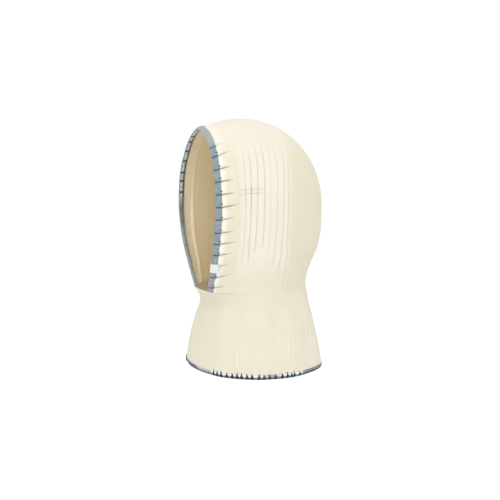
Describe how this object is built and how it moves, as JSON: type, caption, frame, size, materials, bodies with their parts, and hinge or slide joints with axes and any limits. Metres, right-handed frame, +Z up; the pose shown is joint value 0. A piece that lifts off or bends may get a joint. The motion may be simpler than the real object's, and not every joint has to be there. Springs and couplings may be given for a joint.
{
  "type": "knit balaclava",
  "caption": "Knit hood in its worn form with a tucked face opening, contrast edging and a flared neck cape with a gathered hem.",
  "frame": {"origin": "inside of the crown, where it sits on top of the wearer's head", "axes": "+Z up, -Y out of the face opening, +X to the wearer's left"},
  "size_m": [0.1948, 0.2077, 0.3753],
  "materials": {
    "cream_knit": "matte fine rib knit, cream",
    "cream_band": "matte plain knit, cream",
    "slate_edging": "matte melange yarn, slate blue",
    "slate_hem": "matte yarn edging, slate and navy",
    "label": "woven label, white, blank"
  },
  "bodies": {
    "root": {"hood_shell": "cream_knit", "face_band": "cream_band", "face_edging": "slate_edging", "neck_cape": "cream_knit", "hem_edging": "slate_hem", "folded_label": "label"}
  },
  "joints": []
}
